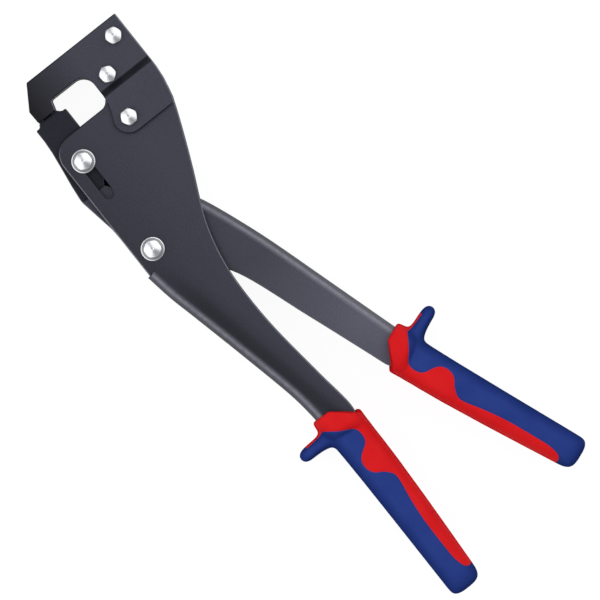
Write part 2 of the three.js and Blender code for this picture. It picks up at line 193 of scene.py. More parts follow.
def rounded(points, radius):
    """The outline with each corner that turns by 25 degrees or more rounded."""
    least = math.radians(25)
    result = []
    count = len(points)
    for i in range(count):
        before, here, after = (Vector(points[(i + k) % count]) for k in (-1, 0, 1))
        a, b = before - here, after - here
        if min(a.length, b.length) < 1e-4:
            continue
        turn = math.pi - a.angle(b)
        if turn < least:
            result.append(tuple(here))
            continue
        reach = min(radius * math.tan(turn / 2), 0.45 * a.length, 0.45 * b.length)
        result += quad(here + a.normalized() * reach, here, here + b.normalized() * reach, 7)
    return result


def twin(point):
    """Where a point of the fixed grip lies on its mirrored twin."""
    x, y = point
    cos, sin = math.cos(GRIP_TWIST), math.sin(GRIP_TWIST)
    return -x * cos - y * sin + GRIP_SHIFT[0], -x * sin + y * cos + GRIP_SHIFT[1]


# ---------------------------------------------------------------- mesh work


def linked(name, data):
    """A new object that stands in the scene."""
    obj = bpy.data.objects.new(name, data)
    bpy.context.scene.collection.objects.link(obj)
    return obj


def mesh_object(bm, name="part"):
    mesh = bpy.data.meshes.new(name)
    bm.to_mesh(mesh)
    bm.free()
    return linked(name, mesh)


def evaluated_mesh(obj):
    depsgraph = bpy.context.evaluated_depsgraph_get()
    return bpy.data.meshes.new_from_object(obj.evaluated_get(depsgraph))


def evaluated(obj):
    """Puts the result of the object's modifiers into its mesh."""
    mesh = evaluated_mesh(obj)
    obj.modifiers.clear()
    obj.data = mesh
    return obj


def combine(obj, others, operation):
    for other in others:
        modifier = obj.modifiers.new("combine", "BOOLEAN")
        modifier.object = other
        modifier.operation = operation
        modifier.solver = "MANIFOLD"
        evaluated(obj)
        bpy.data.objects.remove(other)
    return obj


def join(obj, *others):
    return combine(obj, others, "UNION")


def cut(obj, *others):
    return combine(obj, others, "DIFFERENCE")


def common(obj, *others):
    return combine(obj, others, "INTERSECT")


def plate(outline, holes, z0, z1, edge=EDGE, steps=2):
    """A sheet from z0 to z1 whose edges, and those of its holes, are rounded."""
    curve = bpy.data.curves.new("outline", "CURVE")
    curve.dimensions = "2D"
    curve.fill_mode = "BOTH"
    curve.extrude = (z1 - z0) / 2 - edge
    curve.bevel_depth = edge
    curve.bevel_resolution = steps
    curve.offset = -edge
    for loop in (outline, *holes):
        line = curve.splines.new("POLY")
        line.points.add(len(loop) - 1)
        for point, (x, y) in zip(line.points, loop):
            point.co = (x, y, 0, 1)
        line.use_cyclic_u = True
    drawn = linked("outline", curve)
    mesh = evaluated_mesh(drawn)
    bpy.data.objects.remove(drawn)
    bm = bmesh.new()
    bm.from_mesh(mesh)
    bmesh.ops.remove_doubles(bm, verts=bm.verts, dist=1e-4)
    bmesh.ops.translate(bm, vec=(0, 0, (z0 + z1) / 2), verts=bm.verts)
    bmesh.ops.recalc_face_normals(bm, faces=bm.faces)
    return mesh_object(bm)


def prism(outline, z0, z1):
    """A plain extrusion with sharp edges, used as a cutter."""
    bm = bmesh.new()
    base = [bm.verts.new((x, y, z0)) for x, y in outline]
    face = bm.faces.new(base)
    top = bmesh.ops.extrude_face_region(bm, geom=[face])["geom"]
    moved = [v for v in top if isinstance(v, bmesh.types.BMVert)]
    bmesh.ops.translate(bm, vec=(0, 0, z1 - z0), verts=moved)
    bmesh.ops.triangulate(bm, faces=[f for f in bm.faces if len(f.verts) > 4])
    bmesh.ops.recalc_face_normals(bm, faces=bm.faces)
    return mesh_object(bm)


def block(x0, x1, y0, y1, z0, z1):
    return prism([(x0, y0), (x1, y0), (x1, y1), (x0, y1)], z0, z1)


def skin(rings):
    """A closed skin through rings of points, with a cap at each end."""
    bm = bmesh.new()
    rows = [[bm.verts.new(p) for p in ring] for ring in rings]
    count = len(rows[0])
    for a, b in zip(rows, rows[1:]):
        for j in range(count):
            k = (j + 1) % count
            bm.faces.new((a[j], a[k], b[k], b[j]))
    bm.faces.new(rows[0])
    bm.faces.new(rows[-1])
    bmesh.ops.triangulate(bm, faces=[f for f in bm.faces if len(f.verts) > 4])
    bmesh.ops.recalc_face_normals(bm, faces=bm.faces)
    return mesh_object(bm)


def lathe(profile, at=ORIGIN, steps=96):
    """A solid of revolution about a line along Z; the profile is (radius, z) from axis to axis."""
    bm = bmesh.new()
    rows = []
    for radius, z in profile:
        if radius < 1e-6:
            rows.append([bm.verts.new((at[0], at[1], z))])
            continue
        angles = np.linspace(0, 2 * math.pi, steps, endpoint=False)
        rows.append([bm.verts.new((at[0] + radius * math.cos(a), at[1] + radius * math.sin(a), z))
                     for a in angles])
    pairs = list(zip(rows, rows[1:]))
    if len(rows[0]) > 1:
        pairs.append((rows[-1], rows[0]))
    for a, b in pairs:
        for j in range(steps):
            k = (j + 1) % steps
            corners = [a[j % len(a)], a[k % len(a)], b[k % len(b)], b[j % len(b)]]
            bm.faces.new(list(dict.fromkeys(corners)))
    bmesh.ops.recalc_face_normals(bm, faces=bm.faces)
    return mesh_object(bm)


def round_profile(profile, radius):
    """A lathe profile with every corner between its two ends rounded."""
    result = [profile[0]]
    for before, here, after in zip(profile, profile[1:], profile[2:]):
        a, b = Vector(before) - Vector(here), Vector(after) - Vector(here)
        reach = min(radius, 0.45 * a.length, 0.45 * b.length)
        start = Vector(here) + a.normalized() * reach
        end = Vector(here) + b.normalized() * reach
        result += quad(start, here, end, 4)
    return [*result, profile[-1]]


# ---------------------------------------------------------------- finishing a piece

MATERIALS = {}


def flatten_faces(mesh):
    """Flat-shades the sheet faces, so that their rounded edges do not bend the shading of the sheet."""
    for face in mesh.polygons:
        if abs(face.normal.z) > 0.9999:
            face.use_smooth = False


def row_object(obj, node, material, sharp=35):
    """Names the piece after its CAD node, moves it into the row frame and lets it stand for that node.

    Edges that turn by more than sharp degrees stay sharp in the shading.
    """
    obj.name = node + "_looks"
    mesh = obj.data
    mesh.name = obj.name
    mesh.shade_smooth()
    mesh.set_sharp_from_angle(angle=math.radians(sharp))
    flatten_faces(mesh)
    mesh.transform(TO_ROW)
    obj.data.materials.clear()
    obj.data.materials.append(MATERIALS[material])
    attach(obj, NODES[node]["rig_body"])
    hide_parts(node)
    return obj


# ---------------------------------------------------------------- materials

PAINTED_BAND_REACH = 30.0                # mm, the width scale of the painted bands of shade and light
PAINTED_SHADE = (0.006, 0.006, 0.009)    # painted shade, put on steep walls and at the foot of slopes


class Nodes:
    """A few short words for building a node tree."""

    def __init__(self, name):
        self.material = bpy.data.materials.new(name)
        self.material.use_nodes = True
        self.tree = self.material.node_tree
        self.shader = self.tree.nodes["Principled BSDF"]
        coordinates = self.add("ShaderNodeTexCoord")
        self.place = coordinates.outputs["Object"]
        self.normal = coordinates.outputs["Normal"]

    def add(self, kind, **settings):
        node = self.tree.nodes.new(kind)
        for key, value in settings.items():
            setattr(node, key, value)
        return node

    def link(self, output, target):
        self.tree.links.new(output, target)

    def feed(self, value, socket):
        """Links a node's output to the socket, or sets a fixed value there."""
        if isinstance(value, bpy.types.NodeSocket):
            self.link(value, socket)
        else:
            socket.default_value = (*value, 1) if isinstance(value, tuple) else value

    def separate(self, vector):
        """The X, Y and Z outputs of a vector."""
        node = self.add("ShaderNodeSeparateXYZ")
        self.link(vector, node.inputs[0])
        return node.outputs

    def noise(self, size_mm, detail=3.0, roughness=0.55):
        node = self.add("ShaderNodeTexNoise")
        node.inputs["Scale"].default_value = 1000 / size_mm
        node.inputs["Detail"].default_value = detail
        node.inputs["Roughness"].default_value = roughness
        self.link(self.place, node.inputs["Vector"])
        return node.outputs["Fac"]

    def ramp(self, value, stops):
        node = self.add("ShaderNodeValToRGB")
        elements = node.color_ramp.elements
        for element, (position, colour) in zip(elements, (stops[0], stops[-1])):
            element.position = position
            element.color = (*colour, 1)
        for position, colour in stops[1:-1]:
            elements.new(position).color = (*colour, 1)
        self.link(value, node.inputs["Fac"])
        return node.outputs["Color"]

    def span(self, value, low, high, out_low, out_high):
        node = self.add("ShaderNodeMapRange")
        self.link(value, node.inputs["Value"])
        limits = {"From Min": low, "From Max": high, "To Min": out_low, "To Max": out_high}
        for key, number in limits.items():
            node.inputs[key].default_value = number
        return node.outputs["Result"]

    def mix(self, factor, a, b, blend="MIX"):
        node = self.add("ShaderNodeMix", data_type="RGBA", blend_type=blend)
        for value, index in ((factor, 0), (a, 6), (b, 7)):  # the sockets of the node's colour form
            self.feed(value, node.inputs[index])
        return node.outputs[2]

    def maths(self, operation, a, b=0.0):
        node = self.add("ShaderNodeMath", operation=operation)
        self.feed(a, node.inputs[0])
        self.feed(b, node.inputs[1])
        return node.outputs[0]

    def bump(self, height, strength, distance_mm, normal=None):
        node = self.add("ShaderNodeBump")
        node.inputs["Strength"].default_value = strength
        node.inputs["Distance"].default_value = distance_mm / 1000
        self.link(height, node.inputs["Height"])
        if normal is not None:
            self.link(normal, node.inputs["Normal"])
        return node.outputs["Normal"]

    def steepness(self, stops):
        """A grey value whose stops run from 0, on upright walls, to 1, on faces that lie level."""
        upright = self.maths("ABSOLUTE", self.separate(self.normal)["Z"])
        return self.ramp(upright, [(position, (value,) * 3) for position, value in stops])

    def sideways(self, painted_light_from_right):
        """The mask of the painted highlights and shade: 1 on slopes that face along X, or only to the right,
        0 on slopes that face along Y.
        """
        normal = self.separate(self.normal)
        x = self.maths("MULTIPLY", normal["X"], normal["X"])
        y = self.maths("MULTIPLY", normal["Y"], normal["Y"])
        above_zero = 0.0001
        share = self.maths("DIVIDE", x, self.maths("ADD", self.maths("ADD", x, y), above_zero))
        if painted_light_from_right:
            share = self.maths("MULTIPLY", share, self.maths("GREATER_THAN", normal["X"], 0.0))
        return share

    def across(self, start, end, stops):
        """A grey value by the distance to the left of the line from start to end, in design millimetres.

        A stop at 1.0 stands PAINTED_BAND_REACH from the line. The second value is the place along Y, in row metres.
        """
        (x0, y0), (x1, y1) = start, end
        length = math.hypot(x1 - x0, y1 - y0)
        nx, ny = -(y1 - y0) / length * 1000, (x1 - x0) / length * 1000
        offset = nx * (PIVOT.x + x0 / 1000) + ny * (PIVOT.y + y0 / 1000)
        place = self.separate(self.place)
        along_x = self.maths("MULTIPLY", place["X"], nx)
        along_y = self.maths("MULTIPLY", place["Y"], ny)
        distance = self.maths("SUBTRACT", self.maths("ADD", along_x, along_y), offset)
        share = self.maths("DIVIDE", distance, PAINTED_BAND_REACH)
        return self.ramp(share, [(d, (value,) * 3) for d, value in stops]), place["Y"]

    def finish(self, colour, roughness, normal=None):
        self.link(colour, self.shader.inputs["Base Color"])
        self.link(roughness, self.shader.inputs["Roughness"])
        if normal is not None:
            self.link(normal, self.shader.inputs["Normal"])
        MATERIALS[self.material.name] = self.material
        return self.material


def srgb(r, g, b):
    """The linear colour of an sRGB one, whose values run to 255."""
    def linear(value):
        value /= 255
        return value / 12.92 if value <= 0.04045 else ((value + 0.055) / 1.055) ** 2.4
    return linear(r), linear(g), linear(b)


def with_painted_band(n, colour, band):
    """The colour with painted shade and painted light across a band, where a stop of 0.5 leaves it as it is.

    fade holds the two heights along Y, in row metres, at which the shade starts and is full.
    """
    shade, y = n.across(band["start"], band["end"], band["stops"])
    tone = n.mix(n.span(y, *band["fade"], 0.0, 1.0), (0.5, 0.5, 0.5), shade)
    return n.mix(1.0, colour, n.mix(1.0, tone, (2.0, 2.0, 2.0), "MULTIPLY"), "MULTIPLY")


def painted_shade_to_left(n, colour, left, right, least):
    """The colour with painted shade towards the left, in design millimetres: least of it is left at the left
    end.
    """
    x = n.separate(n.place)["X"]
    share = n.span(x, PIVOT.x + left / 1000, PIVOT.x + right / 1000, least, 1.0)
    return n.mix(n.maths("SUBTRACT", 1.0, share), colour, (0.0, 0.0, 0.0))


def wear_and_painted_light(n, colour, edge, painted_light_from_right):
    """Brightens the rounded crests with the edge colour, partly as rubbed wear and partly as a painted
    highlight, and paints shade on the steep walls and the foot of slopes along Y.
    """
    crest = n.steepness([(0.42, 0.0), (0.66, 0.4), (0.83, 1.0), (0.92, 0.85), (0.98, 0.3), (0.999, 0.0)])
    foot = n.steepness([(0.0, 1.0), (0.5, 1.0), (0.9, 0.8), (0.99, 0.0)])
    wall = n.steepness([(0.2, 0.55), (0.6, 0.0)])
    sideways = n.sideways(painted_light_from_right)
    patches = n.span(n.noise(2.5), 0.35, 0.65, 0.75, 1.0)
    # crests that face along X take the edge colour: rubbed wear in patches, and a painted highlight
    worn_and_highlit = n.mix(n.maths("MULTIPLY", n.maths("MULTIPLY", crest, sideways), patches), colour, edge)
    # painted shade on steep walls and at the foot of slopes that face along Y
    lengthwise = n.maths("SUBTRACT", 0.55, sideways)
    shaded = n.maths("MAXIMUM", wall, n.maths("MULTIPLY", foot, lengthwise))
    return n.mix(shaded, worn_and_highlit, PAINTED_SHADE)


def phosphated_steel(name, dark, light, edge, roughness=0.42, metallic=0.75, specular=0.5, band=None,
                     left_shade=None, painted_light_from_right=False):
    """Dark phosphated sheet: fine crystalline mottling and faint clouds, bends and edges brighter from
    rubbing and a painted highlight, painted shade on the walls.
    """
    n = Nodes(name)
    n.shader.inputs["Metallic"].default_value = metallic
    n.shader.inputs["Specular IOR Level"].default_value = specular
    grain = n.noise(0.9, 4)
    clouds = n.noise(22, 2)
    base = n.ramp(grain, [(0.3, dark), (0.7, light)])
    clouded_and_painted = n.mix(n.span(clouds, 0.35, 0.7, 0.0, 0.35), base, light)
    # painted bands of shade and light, and painted shade to the left, where they are given
    if band:
        clouded_and_painted = with_painted_band(n, clouded_and_painted, band)
    if left_shade:
        clouded_and_painted = painted_shade_to_left(n, clouded_and_painted, *left_shade)
    colour = wear_and_painted_light(n, clouded_and_painted, edge, painted_light_from_right)
    rough = n.span(grain, 0.3, 0.7, roughness + 0.05, roughness - 0.05)
    crystals = n.bump(n.noise(0.35, 2), 0.25, 0.03)
    return n.finish(colour, rough, n.bump(clouds, 0.15, 0.3, crystals))


def zinc_plate(name, colour, roughness):
    """Bright zinc with a faint cloudiness, with painted shade and less shine on its slopes and walls."""
    n = Nodes(name)
    n.shader.inputs["Metallic"].default_value = 1.0
    clouds = n.noise(3.0, 3)
    fine = n.noise(0.6, 2)
    darker = tuple(c * 0.94 for c in colour)
    plain = n.ramp(clouds, [(0.35, darker), (0.65, colour)])
    # painted shade darkens the slopes and walls, which are also made rougher
    slope = n.steepness([(0.0, 0.6), (0.9, 0.75), (0.955, 0.65), (0.975, 0.0)])
    zinc_with_painted_shade = n.mix(slope, plain, tuple(c * 0.35 for c in colour))
    rough = n.span(fine, 0.3, 0.7, roughness - 0.02, roughness + 0.04)
    return n.finish(zinc_with_painted_shade, n.maths("ADD", rough, n.maths("MULTIPLY", slope, 0.5)))


def moulded_plastic(name, dark, light, roughness, grain_mm, strength, side_shade, flank):
    """Moulded plastic with a fine spark-eroded grain, with painted shade and without shine on its upright
    flanks.

    sides is how deep the painted shade on the upright flanks is, and flank how it gives way to the top's.
    """
    n = Nodes(name)
    grain = n.noise(grain_mm, 3, 0.6)
    clouds = n.noise(14, 2)
    base = n.ramp(clouds, [(0.3, dark), (0.7, light)])
    grained = n.mix(n.span(grain, 0.4, 0.7, 0, 0.12), base, light)
    top = n.steepness(flank)
    n.link(n.span(top, 0.5, 1.0, 0.0, 0.05), n.shader.inputs["Specular IOR Level"])
    # painted shade: the colour deepens on the upright flanks
    colour = n.mix(n.span(top, 0.0, 1.0, side_shade, 0.0), grained, tuple(c * 0.3 for c in dark))
    rough = n.span(grain, 0.3, 0.7, roughness - 0.05, roughness + 0.05)
    height = n.maths("MULTIPLY", grain, n.steepness([(0.3, 0.0), (0.75, 1.0)]))
    return n.finish(colour, rough, n.bump(height, strength, 0.05))


# Painted bands: painted shade beside the fixed handle's fold, down to 48 % of the colour, and painted light
# along the moving handle, up to twice as light towards its grip.
FIXED_PAINTED_BAND = {
    "start": (-8.6, -25.2),
    "end": (10.6, -116),
    "fade": (PIVOT.y - 0.002, PIVOT.y - 0.04),
    "stops": [(0.0, 0.45), (0.12, 0.36), (0.25, 0.24), (0.33, 0.27), (0.45, 0.42), (0.6, 0.5)],
}
MOVING_PAINTED_BAND = {
    "start": (71.8, -106),
    "end": (50.4, -35.3),
    "fade": (PIVOT.y - 0.035, PIVOT.y - 0.095),
    "stops": [(0.0, 0.9), (0.2, 1.0), (0.4, 0.95), (0.7, 0.85), (1.0, 0.75)],
}
# The edge colours give the crests rubbed wear and a painted highlight; the bands and the shade to the left
# are painted shade and light, and on the head the highlights are painted only on crests that face right.
HARDENED = {"edge": srgb(95, 95, 103), "roughness": 0.5, "metallic": 0.1, "specular": 0.12}
phosphated_steel("body_steel", srgb(55, 55, 65), srgb(63, 63, 74), srgb(121, 121, 130), band=FIXED_PAINTED_BAND,
                 left_shade=(-10, 32, 0.68))
phosphated_steel("lever_steel", srgb(58, 58, 67), srgb(65, 65, 75), srgb(118, 118, 126), band=MOVING_PAINTED_BAND)
phosphated_steel("head_steel", srgb(57, 57, 67), srgb(65, 65, 76), srgb(130, 130, 140),
                 left_shade=(-5, 30, 0.12), painted_light_from_right=True)
phosphated_steel("link_steel", srgb(48, 48, 58), srgb(55, 55, 66), **HARDENED)
phosphated_steel("black_steel", srgb(31, 31, 40), srgb(37, 37, 47), **HARDENED)
zinc_plate("bright_zinc", srgb(208, 209, 211), 0.21)
# The plastics' colour deepens on their upright flanks as painted shade.
moulded_plastic("moulded_red", (0.64, 0.008, 0.011), (0.70, 0.012, 0.014), roughness=0.5, grain_mm=0.35,
                strength=0.1, side_shade=0.35, flank=[(0.0, 0.0), (0.3, 0.6), (0.75, 1.0)])
moulded_plastic("soft_blue", (0.017, 0.039, 0.205), (0.022, 0.048, 0.235), roughness=0.6, grain_mm=0.3,
                strength=0.12, side_shade=0.6, flank=[(0.2, 0.0), (0.85, 0.7), (0.98, 1.0)])

# ---------------------------------------------------------------- folded backs


def fold_section(half, thick, radius, reach):
    """Section of a folded back: across runs inwards from the outer face, up is along Z."""
    def bend(r, up):
        angles = np.linspace(0, math.pi / 2, 10)
        return [(radius - r * math.sin(a), up * (half - radius + r * math.cos(a))) for a in angles]

    flat = half - thick
    tip = 0.5
    outside = [(reach, half - tip), (reach - tip, half), *bend(radius, 1)]
    outside_back = [*bend(radius, -1)[::-1], (reach - tip, -half), (reach, tip - half)]
    inside = [(reach, -flat), *bend(radius - thick, -1)]
    inside_back = [*bend(radius - thick, 1)[::-1], (reach, flat)]
    section = outside + outside_back + inside + inside_back
    return [p for p, q in zip(section, section[1:] + section[:1]) if math.dist(p, q) > 0.01]


def folded_back(path, inward, section):
    """The section swept along the back; inward is 1 where the handle lies left of the path, else -1."""
    rings = []
    for (x, y), (dx, dy) in zip(path, directions(path)):
        nx, ny = -dy * inward, dx * inward
        rings.append([(x + nx * across, y + ny * across, up) for across, up in section])
    return skin(rings)


FOLD_FLAT = 3.0                  # how far the folded back's section runs on past the bend

# Each handle's folded back and the free edge of its sheets, from the head down and with the tang.
# Only MOVING_EDGE runs the other way, from the tang up to the lever.
FIXED_TANG_BACK = [(11.2, -125), (13, -137), (13.6, -170), (13.9, -205)]
FIXED_TANG_EDGE = [(30.1, -125), (27.6, -137), (26.4, -170), (25, -205)]
FIXED_BACK = spline([(-11.1, -10.1), (-8.6, -25.2), (-5, -40.4), (2, -70.6), (8.6, -101), (10.6, -116),
                     *FIXED_TANG_BACK], 4)
FIXED_EDGE = spline([(58.7, 65.6), (56.5, 55.5), (50.7, 40.4), (41.9, 20.2), (33.8, 3), (28.8, -10),
                     (25.2, -25), (23.4, -42), (23.8, -68), (27.3, -101), *FIXED_TANG_EDGE], 3)
MOVING_BACK = spline([(34.2, 7), (37.5, 0), (43.4, -15.1), (50.4, -35.3), (61.1, -70.6), (71.8, -106),
                      *map(twin, FIXED_TANG_BACK)], 4)
MOVING_EDGE = spline([*map(twin, FIXED_TANG_EDGE[:0:-1]), (57.3, -121.2), (53.2, -110), (40.9, -75.7),
                      (25.7, -35.3), (10, -19), (-2, -10)], 4)

# ---------------------------------------------------------------- fixed handle shell


def body_outline():
    left = -9.8
    corner = 11
    top = 74.45
    throat_corner = 5.1
    lip = [*arc(left + corner, THROAT_BOTTOM - corner, corner, math.pi, math.pi / 2),
           *arc(23.5, THROAT_BOTTOM + throat_corner, throat_corner, -math.pi / 2, -0.5, 8)]
    right = [(THROAT_RIGHT, top), (HEAD_RIGHT, top), (HEAD_RIGHT, 72)]
    back = beside(FIXED_BACK, BODY_BEND + 0.5)[::-1]
    return rounded([(left, -10.5), *lip, *right, *FIXED_EDGE, *back], 0.8)


def slot_outline():
    room = 0.8
    top = arc(0, SLIDE_Y + GAP, SLOT_RADIUS, 0, math.pi)
    return [*top, *arc(0, SLIDE_Y - SLIDE_TRAVEL - room, SLOT_RADIUS, math.pi, 2 * math.pi)]


def fixed_handle_shell():
    holes = [circle(ORIGIN, BOLT_HOLE), circle(HEAD_BOLTS[2], BOLT_HOLE)]
    low, high = 5, 15            # the slot's cutter stands out on both faces of the sheet
    front = cut(plate(body_outline(), holes, BODY_INNER, BODY_OUTER), prism(slot_outline(), low, high))
    rear = cut(plate(body_outline(), holes, -BODY_OUTER, -BODY_INNER), prism(slot_outline(), -high, -low))
    section = fold_section(BODY_OUTER, BODY_SHEET, BODY_BEND, BODY_BEND + FOLD_FLAT)
    return join(folded_back(FIXED_BACK, 1, section), front, rear)


# ---------------------------------------------------------------- head


def throat_arc(inset):
    """The throat's upper right corner and the short curve into the nose, with the throat larger by inset."""
    radius = THROAT_RADIUS + inset
    x = THROAT_RIGHT + inset
    y = THROAT_TOP + inset
    nose = quad((8, y), (6.4, y), (6.3 - inset, y - 1.5), 6)
    return [*arc(x - radius, y - radius, radius, 0, math.pi / 2), *nose]


def head_outline():
    lobe = 8.4
    x, y = HEAD_BOLTS[2]
    foot = y - lobe
    left = [(-5.9, NOSE), (-6.15, 93.5), (2, HEAD_TOP)]
    right = [(HEAD_RIGHT, HEAD_TOP), (HEAD_RIGHT, 72), (58.8, 65.6)]
    bottom = [*quad((56.6, 55.5), (55.6, foot), (53, foot)), (x + 0.5, foot)]
    round_end = arc(x, y, lobe, -math.pi / 2, -math.pi * 1.17, 20)
    rise = quad(round_end[-1], (28, 69.5), (THROAT_RIGHT, 76.5))[1:]
    return rounded([*left, *right, *bottom, *round_end, *rise, *throat_arc(0), (5.1, NOSE)], 0.9)


def joggled(obj, side):
    """Bends the sheet outwards, over the body plate, below the joggle."""
    bm = bmesh.new()
    bm.from_mesh(obj.data)
    lift = BODY_SHEET + GAP
    bend = 0.2
    lean = 1.2                   # how much higher up the inner face starts to bend
    low, high = JOGGLE_FOOT - bend, JOGGLE_TOP + bend
    for y in np.linspace(low, high, 13):
        geom = bm.verts[:] + bm.edges[:] + bm.faces[:]
        bmesh.ops.bisect_plane(bm, geom=geom, plane_co=(0, y, 0), plane_no=(0, 1, 0), dist=1e-5)
    for v in bm.verts:
        depth = abs(v.co.z) - BODY_INNER
        t = clamped((high - v.co.y - lean * (1 - depth / BODY_SHEET)) / (high - low))
        soft = t * t * (3 - 2 * t)
        v.co.z += side * lift * (0.5 * t + 0.5 * soft)
    bmesh.ops.triangulate(bm, faces=[f for f in bm.faces if len(f.verts) > 4])
    bmesh.ops.recalc_face_normals(bm, faces=bm.faces)
    bm.to_mesh(obj.data)
    bm.free()
    return obj


def head_plate(side):
    holes = [circle(at, BOLT_HOLE) for at in HEAD_BOLTS]
    z0, z1 = sorted((side * BODY_INNER, side * BODY_OUTER))
    return joggled(plate(head_outline(), holes, z0, z1), side)


def die_block():
    half = BODY_INNER - GAP
    right = HEAD_RIGHT - GAP
    outline = [(-5.6, NOSE + GAP), (-5.85, 93.4), (2.2, HEAD_TOP - GAP), (right, HEAD_TOP - GAP),
               (right, JOGGLE_TOP), (THROAT_RIGHT + GAP, JOGGLE_TOP), *throat_arc(GAP), (4.9, NOSE + GAP)]
    holes = [circle(at, BOLT_HOLE) for at in HEAD_BOLTS[:2]]
    body = plate(rounded(outline, 0.8), holes, -half, half, FINE_EDGE)
    room = 0.4
    across, deep = PUNCH_HALF + room, PUNCH_DEPTH + room
    return cut(body, block(-across, across, NOSE - 5, 98, -deep, deep))


# ---------------------------------------------------------------- moving handle shell


def lever_outline():
    top = [(-13.6, 40.6), (-13.2, 43.4), (0.3, 43.4), *quad((0.9, 40.5), (2.2, 40), (3, 37.5), 6),
           *quad((3, 37.5), (7, 25), (20, 16.5))[1:], (29.6, 5.6)]
    low = quad(MOVING_EDGE[-1], (-9.2, -4), (-9.4, 4))[1:]
    back = beside(MOVING_BACK, -LEVER_OUTER - 0.4)
    return rounded([*top, *back, *MOVING_EDGE, *low, (-10.1, 20.2)], 1.2)


def moving_handle_shell():
    inner = LEVER_OUTER - LEVER_SHEET
    holes = [circle(ORIGIN, SLEEVE + GAP), circle(KNEE, KNEE_PIN + GAP)]
    front = plate(lever_outline(), holes, inner, LEVER_OUTER, LEVER_EDGE)
    rear = plate(lever_outline(), holes, -LEVER_OUTER, -inner, LEVER_EDGE)
    section = fold_section(LEVER_OUTER, LEVER_SHEET, LEVER_OUTER, LEVER_OUTER + FOLD_FLAT)
    return join(folded_back(MOVING_BACK, -1, section), front, rear)


def knee_pin():
    profile = [(0, -LEVER_OUTER), (KNEE_PIN, -LEVER_OUTER), (KNEE_PIN, LEVER_OUTER), (0, LEVER_OUTER)]
    return lathe(round_profile(profile, 0.3), KNEE, 48)


# ---------------------------------------------------------------- slide and link


def yoke_outline():
    left = [(-13.7, 40.9), (-12.7, 50.5), (-11.2, 60.5), (-9.9, 70), (-9.4, 77), (-9.4, 83.9)]
    top = [(-7.6, 83.9), (-6.7, 84.4), (-6.1, NOSE - GAP), (5.6, NOSE - GAP), (6.4, 84.6), (7.7, 83.9)]
    right = [(9.6, 83.9), (9.6, 52), (2.1, 42.7), (0.9, 40.9)]
    return rounded([*left, *top, *right], 1.0)


def along_y(profile, steps):
    """A solid of revolution about the Y axis; the profile is (radius, y)."""
    body = lathe(profile, steps=steps)
    body.data.transform(Matrix.Rotation(-math.pi / 2, 4, "X"))
    return body


def slide_block():
    """The yoke: one block above the crotch, two cheeks below it, and a short tail on the rear cheek."""
    half = BODY_INNER - GAP
    crotch = 64
    cheek = LEVER_OUTER + GAP
    hole = circle((0, SLIDE_Y), SHOULDER + GAP)
    tail = plate([(0.2, 38), (3.6, 37), (3.6, 45), (0.2, 45)], [], -half, -cheek, FINE_EDGE)
    body = join(plate(yoke_outline(), [hole], -half, half, LEVER_EDGE), tail)
    mouth = block(-20, 20, 30, crotch, -cheek, cheek)
    across, deep = PUNCH_HALF + GAP, PUNCH_DEPTH + GAP
    pocket = block(-across, across, PUNCH_FOOT - GAP, 90, -deep, deep)
    bore_foot, bore_top = crotch - 5, 73
    bore = along_y([(0, bore_foot), (BOLT_HOLE, bore_foot), (BOLT_HOLE, bore_top), (0, bore_top)], 32)
    return cut(body, mouth, pocket, bore)


def punch():
    half = PUNCH_HALF
    outline = [(-half, PUNCH_FOOT), (half, PUNCH_FOOT), (half, 91.5), (0, 94.2), (-half, 91.5)]
    return plate(rounded(outline, 0.2), [], -PUNCH_DEPTH, PUNCH_DEPTH, 0.2)


def punch_screw():
    y0, y1 = 65, 71.9
    socket_radius, socket_depth = 1.25, 2.5
    profile = [(0, y0 + socket_depth), (socket_radius, y0 + socket_depth - 0.2), (socket_radius, y0),
               (SHANK, y0), (SHANK, y1), (0, y1)]
    return along_y(round_profile(profile, 0.2), 48)


def toggle_link():
    """A flat link, round at both ends: the sleeve's hole at the top, the clearance eye at the foot."""
    half = LEVER_OUTER - LEVER_SHEET - GAP
    start = Vector((0, SLIDE_Y))
    along = Vector((KNEE[0], KNEE[1] - SLIDE_Y)).normalized()
    across = Vector((-along.y, along.x))
    eye = start + along * LINK_EYE_DISTANCE + across * LINK_EYE_OFFSET
    foot_middle = eye + across * 0.35
    top_radius, foot_radius = 6.6, 4.9
    turn = math.atan2(across.y, across.x)
    top = arc(start.x, start.y, top_radius, turn, turn + math.pi, 24)
    foot = arc(foot_middle.x, foot_middle.y, foot_radius, turn + math.pi, turn + 2 * math.pi, 24)
    holes = [circle(start, SLIDE_SLEEVE + GAP), circle(eye, LINK_EYE)]
    return plate([*top, *foot], holes, -half, half, FINE_EDGE)


# ---------------------------------------------------------------- fasteners


def hexagon(at, across, turn):
    radius = across / math.sqrt(3)
    angles = [turn + i * math.pi / 3 for i in range(6)]
    corners = [(at[0] + radius * math.sin(a), at[1] + radius * math.cos(a)) for a in angles]
    return rounded(corners, HEX_EDGE)


def crowned_hexagon(at, across, z0, z1, turn):
    """A hexagon whose crown is turned down to a chamfer, slightly domed, with a centre mark."""
    rim = across / 2
    clear = 8                    # the turned limit is wider than the hexagon below the chamfer
    profile = [(0, z0 - 1), (clear, z0 - 1), (clear, z1 - 2.2)]
    profile += [(rim + 0.8, z1 - 1.0), (rim + 0.35, z1 - 0.7)]
    profile += [(r, z1 - 0.1 * r - 0.012 * r * r) for r in np.linspace(rim, 0.95, 9)]
    profile += [(0.75, z1 - 0.12), (0.4, z1 - 0.2), (0, z1 - 0.2)]
    limit = lathe(round_profile(profile, 0.12), at)
    return common(prism(hexagon(at, across, -turn), z0, z1 + 1), limit)


def shank_end(end):
    """The profile of a shank's chamfered end."""
    return [(0, -end), (SHANK - 0.4, -end), (SHANK, -end + 0.5)]


